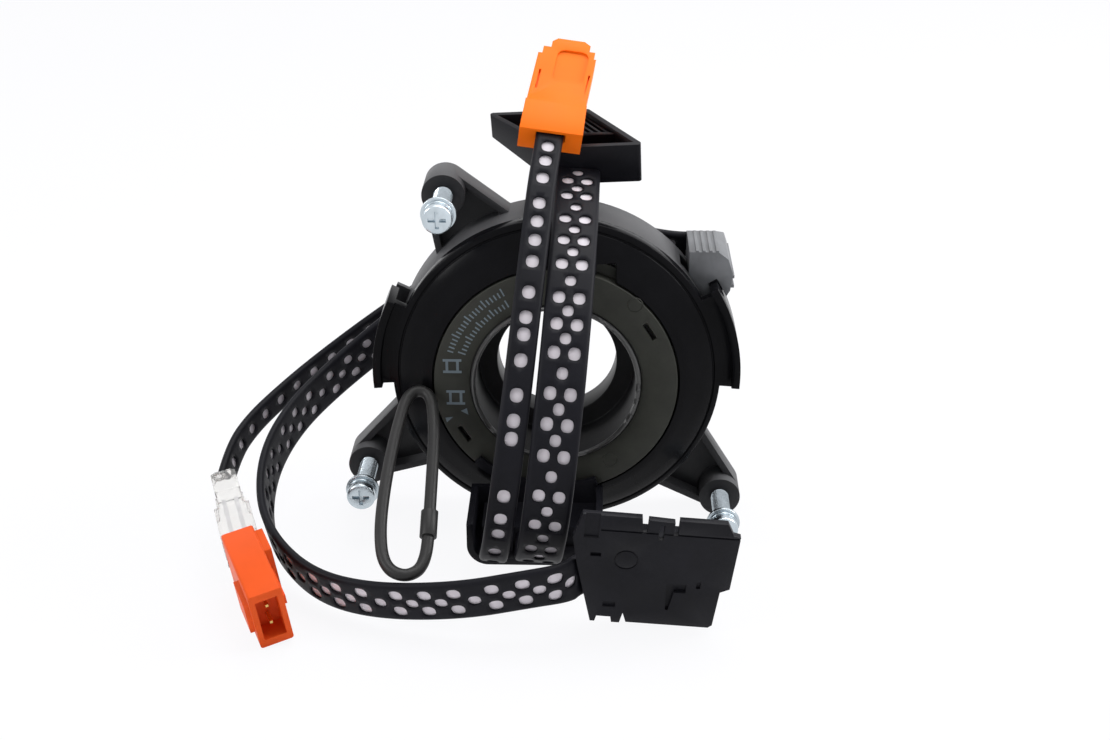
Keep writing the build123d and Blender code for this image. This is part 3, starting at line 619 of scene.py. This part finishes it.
# %% [markdown]
# ## The four leads and the round cord
# The holes' places are given in millimetres along each lead, from the drum outwards. The punching isn't
# even on the real thing, so the places in front are listed one by one. The round cord is simpler: a curve
# with a bevel depth is already a tube, with nothing to model.

# %% Leads
hole_r = 1.8 * MM
WHEEL_NARROW_HOLE_R, COLUMN_NARROW_HOLE_R, COLUMN_NARROW_STEP = 1.9 * MM, 1.55 * MM, 8
# The far part of the wide column lead has smaller holes than the part in front
FAR_PART, FAR_HOLE, NEAR_HOLE, PAIR_SPREAD = 0.19, 0.85, 1.06, 1.04
CABLE_MARGIN, CABLE_HALF_HEIGHT = 1.3 * MM, 0.5 * MM
wheel_pairs = [4.2, 12.7, 21.8, 31, 41.1, 50.5, 62, 70.8, 79.3]
wheel_pairs += [90.7, 99.1, 107.1, 117.9, 126.6, 135.6, 146.5, 154.4]
column_pairs = [5 + 8.6 * k + 2.3 * (k // 3) for k in range(33)]
wheel_wide_holes = hole_rows(wheel_pairs, lines["wheel_wide"].length, hole_r)
column_wide_holes = [
    (s, u * PAIR_SPREAD, r * (FAR_HOLE if s < FAR_PART else NEAR_HOLE))
    for s, u, r in hole_rows(column_pairs, lines["column_wide"].length, hole_r)
]
narrow_places = [6, 13.5, 21, 29.4, 37.7, 43.2, 50.5, 66.9, 71.9, 79, 88.7]
narrow_places += [96.1, 101.1, 108.5, 117.9, 124.6, 130.6, 136.6, 145.2, 151.5, 156.8]
wheel_narrow_holes = [(s * MM, 0.0, WHEEL_NARROW_HOLE_R) for s in narrow_places]
column_places = range(6, int(lines["column_narrow"].length / MM) - 3, COLUMN_NARROW_STEP)
column_narrow_holes = [(s * MM, 0.0, COLUMN_NARROW_HOLE_R) for s in column_places]
leads = {}
for name, width, holes in (
    ("wheel_wide", WIDE, wheel_wide_holes),
    ("wheel_narrow", NARROW, wheel_narrow_holes),
    ("column_wide", WIDE, column_wide_holes),
    ("column_narrow", NARROW, column_narrow_holes),
):
    tube = sleeve(f"{name}_sleeve", lines[name], width, holes, sleeve_black)
    half_width = width / 2 - CABLE_MARGIN
    cable = band(f"{name}_cable", lines[name], half_width, CABLE_HALF_HEIGHT, cable_white)
    leads[name] = (tube, cable)
    print(name, "holes", len(holes), "faces", len(tube.data.polygons))

loop_curve = route_curve("loop_cord", loop_route)
loop_curve.bevel_depth = LOOP_CORD_R
loop_curve.bevel_resolution = 6
loop_curve.use_fill_caps = True
loop_curve.materials.append(loop_rubber)
loop_cord = bpy.data.objects.new("loop_cord", loop_curve)
bpy.context.scene.collection.objects.link(loop_cord)

# %% [markdown]
# ## Clear cap
# The narrow column lead enters its plug through a clear moulded cap with an eyelet. Stacked boxes would
# leave walls inside, and those show through clear plastic. So it is one skin: a chain of rectangular
# sections, each joined to the next, which is how its stepped outside would be drawn on paper.


# %% Clear cap
def ring_between(bm, before, after):
    """Bridge two closed chains of corners with faces."""
    for k in range(len(before)):
        j = (k + 1) % len(before)
        bm.faces.new((before[k], before[j], after[j], after[k]))


cap_start, cap_end = Vector((-0.1026, -0.029, -0.034)), Vector((-0.09165, -0.05905, -0.0396))
cap_along = (cap_end - cap_start).normalized()
cap_side = Vector((0.905, 0.397, 0.155))
cap_side = (cap_side - cap_side.dot(cap_along) * cap_along).normalized()
cap_up = cap_along.cross(cap_side)
cap_length = (cap_end - cap_start).length
bm = bmesh.new()
chain = []
for share, wide, tall in (
    (-0.02, 5.0, 8.4),
    (0.03, 7.6, 9.6),
    (0.30, 7.8, 9.8),
    (0.31, 7.0, 9.0),
    (0.38, 7.0, 9.0),
    (0.39, 8.4, 10.2),
    (0.55, 8.8, 10.6),
    (0.56, 10.6, 11.6),
    (0.995, 10.8, 12.2),
):
    middle = cap_start + cap_along * (share * cap_length)
    half_w, half_t = cap_side * (wide / 2 * MM), cap_up * (tall / 2 * MM)
    low, high = middle - half_t, middle + half_t
    corners = (low - half_w, low + half_w, high + half_w, high - half_w)
    chain.append([bm.verts.new(corner) for corner in corners])
for before, after in zip(chain, chain[1:]):
    ring_between(bm, before, after)
bm.faces.new(chain[0][::-1])
bm.faces.new(chain[-1])
clear_cap = bmesh_piece("clear_cap", bm, cap_clear, smooth=False)
soft_edge = clear_cap.modifiers.new("edge", "BEVEL")
soft_edge.width, soft_edge.segments = 0.25 * MM, 2
print("clear cap length in mm:", round(cap_length / MM, 1))

# %% [markdown]
# ## Eyelet and crimps
# A small loop stands at the cap's mouth, and two crimped contacts show through its wall. The loop is a
# disc spun full circle, which gives a ring whose section and radius are both plain numbers. The crimps
# are blurred by the plastic, so scaled cubes are enough.

# %% Eyelet and crimps
EYELET_R, EYELET_WIRE_R = 1.5 * MM, 0.65 * MM
eyelet_middle = Vector((-0.1037, -0.0305, -0.0326))
bm = bmesh.new()
section = bmesh.ops.create_circle(bm, cap_ends=True, segments=12, radius=EYELET_WIRE_R)["verts"]
bmesh.ops.translate(bm, verts=section, vec=(EYELET_R, 0, 0))
quarter = Matrix.Rotation(math.pi / 2, 3, "X")
bmesh.ops.rotate(bm, verts=section, cent=(0, 0, 0), matrix=quarter)
bmesh.ops.spin(
    bm,
    geom=bm.faces[:],
    cent=(0, 0, 0),
    axis=(0, 0, 1),
    angle=2 * math.pi,
    steps=32,
    use_merge=True,
)
facing = Vector((-0.2, -0.75, 0.55)).to_track_quat("Z", "Y").to_matrix()
bmesh.ops.rotate(bm, verts=bm.verts, cent=(0, 0, 0), matrix=facing)
bmesh.ops.translate(bm, verts=bm.verts, vec=eyelet_middle)
eyelet = bmesh_piece("cap_eyelet", bm, cap_clear)
CRIMP_OFF, CRIMP_WIDE, CRIMP_TALL = 1.9, 1.3 * MM, 1.6 * MM
crimp_size = (CRIMP_WIDE, CRIMP_TALL, 0.5 * cap_length)
crimp_middle = cap_start + cap_along * (0.62 * cap_length)
turn = Matrix((cap_side, cap_up, cap_along)).transposed()
bm = bmesh.new()
for side in (-CRIMP_OFF, CRIMP_OFF):
    made = bmesh.ops.create_cube(bm, size=1.0)["verts"]
    bmesh.ops.scale(bm, verts=made, vec=crimp_size)
    bmesh.ops.rotate(bm, verts=made, cent=(0, 0, 0), matrix=turn)
    bmesh.ops.translate(bm, verts=made, vec=crimp_middle + cap_side * (side * MM))
crimps = bmesh_piece("cap_crimps", bm, crimp_tin, smooth=False)
cap_pieces = [clear_cap, eyelet, crimps]
print("cap pieces:", [piece.name for piece in cap_pieces])

# %% [markdown]
# ## Plug and socket bodies
# The wheel plug and the column socket keep their solids' forms, with a few corners moved: the plug's
# body is shorter, leans, and is set in behind its collar, and the socket's top sits below the edge of its
# cover plate. A copy of each solid's mesh is merged first, so that a corner moves as one.


# %% Adjusted bodies
MERGE, SHARP = 1e-6, math.radians(34)  # loose corners within MERGE join; edges past SHARP are rounded


def merged_copy(node_name):
    """The node's mesh as a bmesh with its loose triangles joined."""
    bm = bmesh.new()
    bm.from_mesh(nodes[node_name].data)
    bmesh.ops.remove_doubles(bm, verts=bm.verts, dist=MERGE)
    return bm


def adjusted(name, node_name, bm, material, bevel):
    """Finish an adjusted copy, put it on the stator and let it stand for its node."""
    piece = bmesh_piece(name, bm, material)
    edge = piece.modifiers.new("edge", "BEVEL")
    edge.width, edge.segments = bevel, 2
    edge.limit_method, edge.angle_limit = "ANGLE", SHARP
    edge.use_clamp_overlap = True
    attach(piece, "stator")
    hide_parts(node_name)
    return piece


PLUG_SHORTER, PLUG_INSET, PLUG_LEAN = 4.0 * MM, 0.5 * MM, 0.078
# In mm from the plug's foot: where its far end and its body start, and how wide its flanks stand
FAR_END, BODY_START, FLANK_IN, FLANK_OUT = 25, 8.9, 7.0, 9.25
plug_foot = Vector(wheel_narrow_route[-1])
plug_along = (plug_foot - Vector(wheel_narrow_route[-2])).normalized()
plug_across = (wheel_narrow_across - wheel_narrow_across.dot(plug_along) * plug_along).normalized()
for name, node_name, material, slot, bevel in (
    ("airbag_plug_body", "wheel_airbag_plug", orange_bright, "plug_orange", 0.2 * MM),
    ("airbag_plug_contacts", "wheel_airbag_terminals", brass, "contact_brass", 0.05 * MM),
):
    bm = merged_copy(node_name)
    for vert in bm.verts:
        along = (vert.co - plug_foot).dot(plug_along) / MM
        across = (vert.co - plug_foot).dot(plug_across) / MM
        if along > FAR_END:
            vert.co -= PLUG_SHORTER * plug_along
        if along > BODY_START and FLANK_IN < abs(across) < FLANK_OUT:
            vert.co -= math.copysign(PLUG_INSET, across) * plug_across
        vert.co += PLUG_LEAN * max(0.0, along) * MM * plug_across
    adjusted(name, node_name, bm, material, bevel)

SOCKET_TOP, SOCKET_LOWERED = 26 * MM, 4.7 * MM
socket_foot = Vector((0.02815, -0.0786, -0.05115))
socket_up = Vector((0.0777, -0.1388, 0.9872))
bm = merged_copy("column_switch_connector")
lowered = [v for v in bm.verts if (v.co - socket_foot).dot(socket_up) > SOCKET_TOP]
bmesh.ops.translate(bm, verts=lowered, vec=-SOCKET_LOWERED * socket_up)
switch_socket = adjusted("switch_socket", "column_switch_connector", bm, connector_black, 0.2 * MM)
for piece in cap_pieces:
    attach(piece, "stator")
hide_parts("column_airbag_cap")
print("corners lowered on the socket:", len(lowered))

# %% [markdown]
# ## What the leads ride on
# The wheel leads start on the rotor and end on plugs that stay put; here they are only baked in place and
# put on no body. The column leads and the round cord stay with the housing. Between about 40 and 110
# degrees of turn the duct passes through the round cord's loop: the cord reaches back into the duct's
# path, as it does in the CAD model. That is a fault still to be mended.

# %% Leads on their bodies
for name, (tube, cable) in leads.items():
    for piece in (tube, cable):
        if name.startswith("wheel"):
            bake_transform(piece)
        else:
            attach(piece, "stator")
    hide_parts(f"{name}_strap")
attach(loop_cord, "stator")
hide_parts("cord_loop")


# %% [markdown]
# ## Mouldings
# The CAD solids keep their shapes. No moulding has a truly sharp edge, and the thin line of light along
# a rounded one is much of what makes plastic look real. A Bevel modifier limited by angle rounds only the
# sharp edges, and leaves the solid's own mesh as it was.

# %% Dress the CAD solids
def dress(name, material, bevel):
    """Give a CAD solid its finish and, if asked, softly rounded edges."""
    obj = nodes[name]
    obj.data.materials.clear()
    obj.data.materials.append(material)
    weld = obj.modifiers.new("weld", "WELD")
    weld.merge_threshold = MERGE
    if bevel:
        edge = obj.modifiers.new("edge", "BEVEL")
        edge.width = bevel
        edge.segments = 2
        edge.limit_method = "ANGLE"
        edge.angle_limit = SHARP
        edge.use_clamp_overlap = True
    for polygon in obj.data.polygons:
        polygon.use_smooth = True
    obj.data.update()


dress("rear_housing", satin_black, 0.3 * MM)
dress("front_cover", cover_gloss, 0.2 * MM)
dress("outlet_cover", outlet_grey, 0.25 * MM)
dress("rotor_face", rotor_matt, 0.2 * MM)
dress("rotor_hub", hub_satin, 0.3 * MM)
dress("lead_out_duct", connector_black, 0.3 * MM)
dress("ribbon_coil", ribbon_film, 0)
dress("front_slip_sheet", slip_film, 0)
dress("rear_slip_sheet", slip_film, 0)
for side in ("upper", "left", "right"):
    dress(f"{side}_screw", zinc, 0.15 * MM)
    dress(f"{side}_washer", zinc, 0.15 * MM)
    dress(f"{side}_lock_washer", zinc, 0.15 * MM)
dress("wheel_switch_connector", connector_black, 0.2 * MM)
dress("wheel_switch_pins", brass, 0.08 * MM)
dress("column_airbag_plug", orange_salmon, 0.25 * MM)
dress("column_airbag_pins", brass, 0.1 * MM)
dress("column_switch_cover", connector_black, 0.2 * MM)
dress("column_switch_terminals", brass, 0.08 * MM)
dress("loop_sleeve", loop_rubber, 0.2 * MM)
print("CAD solids in the frame:", len(nodes))

# %% [markdown]
# ## Screw threads
# A real shank has a ridge rolled round it. A Screw modifier could wind one, but a spin with a step along
# its axis gives the same helix at once, and the ridge can then ride with its screw.


# %% Threads
SHANK_R, THREAD_CREST, THREAD_PITCH = 2.46 * MM, 2.85 * MM, 0.8 * MM
ROOT_HALF, CREST_HALF = 0.42, 0.08  # half the ridge's width, in pitches
THREAD_STEPS = 28


def thread(name, x, z, tip, head):
    """A helical ridge round a shank whose axis runs along Y."""
    bm = bmesh.new()
    section = []
    for radius, along in (
        (SHANK_R, ROOT_HALF),
        (THREAD_CREST, CREST_HALF),
        (THREAD_CREST, -CREST_HALF),
        (SHANK_R, -ROOT_HALF),
    ):
        section.append(bm.verts.new((x + radius, tip + along * THREAD_PITCH, z)))
    ridge = bm.faces.new(section)
    turns = (tip - head) / THREAD_PITCH
    bmesh.ops.spin(
        bm,
        geom=[ridge],
        cent=(x, 0, z),
        axis=(0, 1, 0),
        dvec=(0, -THREAD_PITCH / THREAD_STEPS, 0),
        angle=2 * math.pi * turns,
        steps=int(turns * THREAD_STEPS),
        use_duplicate=False,
    )
    return bmesh_piece(name, bm, zinc, smooth=False)


# Each screw's angle round the steering axis in degrees, and its reach from it in mm
BOSSES = {"upper": (121.9, 63.8), "left": (-148.5, 70.4), "right": (-42.0, 70.4)}
SCREW_TIP, SCREW_HEAD = -8.1 * MM, -27.1 * MM
for side, (angle, reach) in BOSSES.items():
    turn = math.radians(angle)
    x, z = reach * MM * math.cos(turn), reach * MM * math.sin(turn)
    ridge = thread(f"{side}_thread", x, z, SCREW_TIP, SCREW_HEAD)
    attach(ridge, f"{side}_screw_set")
    print(ridge.name, "faces", len(ridge.data.polygons))

# %% [markdown]
# ## Ring marks
# The ring round the hub carries print. Plain ticks, frames and arrows stand in for it. Each is a flat
# face pushed out by a little more than the thickness of ink, so that it shows without an image.


# %% Marks
MARK_Y, INK = -27.08 * MM, 0.12 * MM
print_grey = finish_of(
    "print_grey", (0.17, 0.21, 0.24),
    0.6, grain=0.1, grain_size=0.3, change=0.15, specular=0.1
)


def on_ring(radius, angle):
    """A place on the ring, in mm across and up."""
    turn = math.radians(angle)
    return (radius * math.cos(turn), radius * math.sin(turn))


def tick(angle, inner, outer, width):
    """The corners of a radial tick."""
    half = math.degrees(width / 2 / outer)
    corners = ((inner, -half), (outer, -half), (outer, half), (inner, half))
    return [on_ring(radius, angle + turn) for radius, turn in corners]


def frame_bars(x, z, wide, tall, bar):
    """The corners of four bars that make a frame with short ends standing out."""
    low_x, high_x, low_z, high_z = x - wide / 2, x + wide / 2, z - tall / 2, z + tall / 2
    spans = [(low_x, high_x, high_z - bar, high_z), (low_x, high_x, low_z, low_z + bar)]
    spans.append((low_x + bar, low_x + 2 * bar, low_z + bar, high_z - bar))
    spans.append((high_x - 2 * bar, high_x - bar, low_z + bar, high_z - bar))
    return [[(a, c), (b, c), (b, d), (a, d)] for a, b, c, d in spans]


TICK_WIDTH = 0.45
marks = []
for k in range(20):
    marks.append(tick(118 + 2.3 * k, 32.3, 34.9 if k % 5 == 0 else 34.1, TICK_WIDTH))
for k in range(17):
    marks.append(tick(119 + 2.6 * k, 28.6, 31.0 if k % 4 == 0 else 30.2, TICK_WIDTH))
marks += frame_bars(-31.1, 5.6, 5.6, 4.6, 0.8)
marks += frame_bars(-30.3, -4.9, 5.6, 4.8, 0.8)
marks.append([(-33.6, -11.8), (-31.3, -11.5), (-33.2, -13.4)])
marks.append([(-28.9, -9.4), (-26.6, -10.7), (-27.0, -8.5)])
bm = bmesh.new()
for corners in marks:
    flat = bm.faces.new([bm.verts.new((x * MM, MARK_Y + INK, z * MM)) for x, z in corners])
    raised = bmesh.ops.extrude_face_region(bm, geom=[flat])["geom"]
    front = [v for v in raised if isinstance(v, bmesh.types.BMVert)]
    bmesh.ops.translate(bm, verts=front, vec=(0, -INK, 0))
ring_marks = bmesh_piece("ring_marks", bm, print_grey, smooth=False)
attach(ring_marks, "rotor")
print("marks on the ring:", len(marks))

# %% [markdown]
# ## Hub lip and ejector marks
# The rim of the hub's well is rolled over and shines as a thin line: a rounded ring, lit partly by its
# own shape and gloss and partly by a painted highlight, as its colour is lighter than the hub's. Low
# round ridges show where the mould's ejector pins pressed. Both are the same move: a small section drawn
# beside an axis and spun full circle, with the last step merged into the first so that no seam is left.

# %% Hub lip
LIP_R, LIP_Y, LIP_RISE = 24.9 * MM, -27.4 * MM, 0.6 * MM
bm = bmesh.new()
corners = [(-0.75, 0.3), (-0.62, -0.3), (-0.3, -0.75), (0.3, -0.75), (0.62, -0.3), (0.75, 0.3)]
section = [bm.verts.new((LIP_R + a * MM, LIP_Y + b * LIP_RISE, 0)) for a, b in corners]
bmesh.ops.spin(
    bm,
    geom=[bm.faces.new(section)],
    cent=(0, 0, 0),
    axis=(0, 1, 0),
    angle=2 * math.pi,
    steps=120,
    use_merge=True,
)
hub_lip = bmesh_piece("hub_lip", bm, lip_painted_highlight)
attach(hub_lip, "rotor")
print("hub lip faces", len(hub_lip.data.polygons))

# %% Ejector marks
EJECTOR_R, EJECTOR_RIDGE = 2.2 * MM, 0.16 * MM
bm = bmesh.new()
for x, z in ((23.4, 26.1), (-15.7, -29.8), (16.7, -25.8)):
    corners = ((-1, 0.7), (0, -0.4), (1, 0.7))
    ridge = [
        bm.verts.new(((x * MM) + EJECTOR_R + a * EJECTOR_RIDGE, MARK_Y + b * INK, z * MM))
        for a, b in corners
    ]
    bmesh.ops.spin(
        bm,
        geom=[bm.faces.new(ridge)],
        cent=(x * MM, 0, z * MM),
        axis=(0, 1, 0),
        angle=2 * math.pi,
        steps=40,
        use_merge=True,
    )
ejector_marks = bmesh_piece("ejector_marks", bm, rotor_matt)
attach(ejector_marks, "rotor")
print("ejector marks faces", len(ejector_marks.data.polygons))

# %% [markdown]
# ## Floor
# The part lies on a sheet of white paper as wide as the view. Lighting the paper up to white would wash
# the part out too. So the camera, and the rays that metal and clear plastic send on, see it nearly as
# white as it can be, while the part is lit only by its plain matt side and its shadow stays.

# %% Floor
PAPER_WHITE = (0.985, 0.985, 1.0, 1)


def seen_by(tree):
    """Whether a ray is the camera's, or one that metal or glass sends on from it."""
    rays = node_of(tree, "ShaderNodeLightPath")
    sent = node_of(tree, "ShaderNodeMath", operation="MAXIMUM")
    shown = node_of(tree, "ShaderNodeMath", operation="MAXIMUM")
    tree.links.new(rays.outputs["Is Glossy Ray"], sent.inputs[0])
    tree.links.new(rays.outputs["Is Transmission Ray"], sent.inputs[1])
    tree.links.new(rays.outputs["Is Camera Ray"], shown.inputs[0])
    tree.links.new(sent.outputs["Value"], shown.inputs[1])
    return shown.outputs["Value"]


FLOOR_REACH, FLOOR_GAP, GLOW_SHARE = 6.0, 0.0002, 0.93
floor_z = cad_low.z - FLOOR_GAP
corners = [(-FLOOR_REACH, -FLOOR_REACH), (FLOOR_REACH, -FLOOR_REACH)]
corners += [(FLOOR_REACH, FLOOR_REACH), (-FLOOR_REACH, FLOOR_REACH)]
floor_mesh = bpy.data.meshes.new("floor")
floor_mesh.from_pydata([(x, y, floor_z) for x, y in corners], [], [(0, 1, 2, 3)])
floor = bpy.data.objects.new("floor", floor_mesh)
bpy.context.scene.collection.objects.link(floor)
paper = bpy.data.materials.new("paper")
paper.use_nodes = True
tree = paper.node_tree
tree.nodes.clear()
out = node_of(tree, "ShaderNodeOutputMaterial")
matt = node_of(tree, "ShaderNodeBsdfDiffuse", Color=(0.93, 0.93, 0.94, 1))
glow = node_of(tree, "ShaderNodeEmission", Color=PAPER_WHITE, Strength=1.0)
shown = seen_by(tree)
share = node_of(tree, "ShaderNodeMath", operation="MULTIPLY")
share.inputs[1].default_value = GLOW_SHARE
mix = node_of(tree, "ShaderNodeMixShader")
tree.links.new(shown, share.inputs[0])
tree.links.new(share.outputs["Value"], mix.inputs["Fac"])
tree.links.new(matt.outputs["BSDF"], mix.inputs[1])
tree.links.new(glow.outputs["Emission"], mix.inputs[2])
tree.links.new(mix.outputs["Shader"], out.inputs["Surface"])
floor_mesh.materials.append(paper)
floor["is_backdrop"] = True
print("floor height in mm:", round(floor_z / MM, 2))

# %% [markdown]
# ## World and lamps
# Black plastic shows little but what it reflects. A plain world would make it flat, so the world is
# brighter behind the part than in front. A large soft lamp above and behind draws the edges, and two
# smaller ones open up the sides. The lamps stay low, so that colours render about as they are written.

# %% World and lamps
world = bpy.data.worlds.new("world")
bpy.context.scene.world = world
world.use_nodes = True
tree = world.node_tree
tree.nodes.clear()
out = node_of(tree, "ShaderNodeOutputWorld")
seen = node_of(tree, "ShaderNodeBackground", Color=PAPER_WHITE, Strength=1.0)
# What the object reflects is brighter behind it and dim in front
lit = node_of(tree, "ShaderNodeBackground", Color=(0.95, 0.97, 1.0, 1))
toward = node_of(tree, "ShaderNodeTexCoord")
split = node_of(tree, "ShaderNodeSeparateXYZ")
behind = node_of(tree, "ShaderNodeMapRange")
behind.inputs["From Min"].default_value = -0.5
behind.inputs["From Max"].default_value = 0.6
behind.inputs["To Min"].default_value = 0.3
behind.inputs["To Max"].default_value = 0.7
tree.links.new(toward.outputs["Generated"], split.inputs["Vector"])
tree.links.new(split.outputs["Y"], behind.inputs["Value"])
tree.links.new(behind.outputs["Result"], lit.inputs["Strength"])
mix = node_of(tree, "ShaderNodeMixShader")
tree.links.new(seen_by(tree), mix.inputs["Fac"])
tree.links.new(lit.outputs["Background"], mix.inputs[1])
tree.links.new(seen.outputs["Background"], mix.inputs[2])
tree.links.new(mix.outputs["Shader"], out.inputs["Surface"])


def lamp(name, place, aim, size, watts):
    """A soft square lamp."""
    data = bpy.data.lights.new(name, "AREA")
    data.shape = "SQUARE"
    data.size = size
    data.energy = watts
    obj = bpy.data.objects.new(name, data)
    obj.location = place
    obj.rotation_mode = "QUATERNION"
    obj.rotation_quaternion = (Vector(aim) - Vector(place)).to_track_quat("-Z", "Y")
    bpy.context.scene.collection.objects.link(obj)
    print(name, "lamp, watts:", watts)


LAMP_AIM = (0, -0.02, 0)
lamp("key", (0.15, 0.2, 0.95), LAMP_AIM, 0.8, 8.0)
lamp("fill", (-0.75, -0.35, 0.45), LAMP_AIM, 0.3, 2.4)
lamp("side", (0.8, 0.15, 0.5), LAMP_AIM, 0.4, 5.0)
bpy.context.scene.view_settings.view_transform = "Standard"

# %% [markdown]
# ## Size
# The dressed part must not outgrow the CAD model, so both boxes are written down and compared.

# %% Size
low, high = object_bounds()
past_low = [round((a - b) / MM, 2) for a, b in zip(cad_low, low)]
past_high = [round((a - b) / MM, 2) for a, b in zip(high, cad_high)]
print("visual box beyond the CAD box, mm:", past_low, past_high)
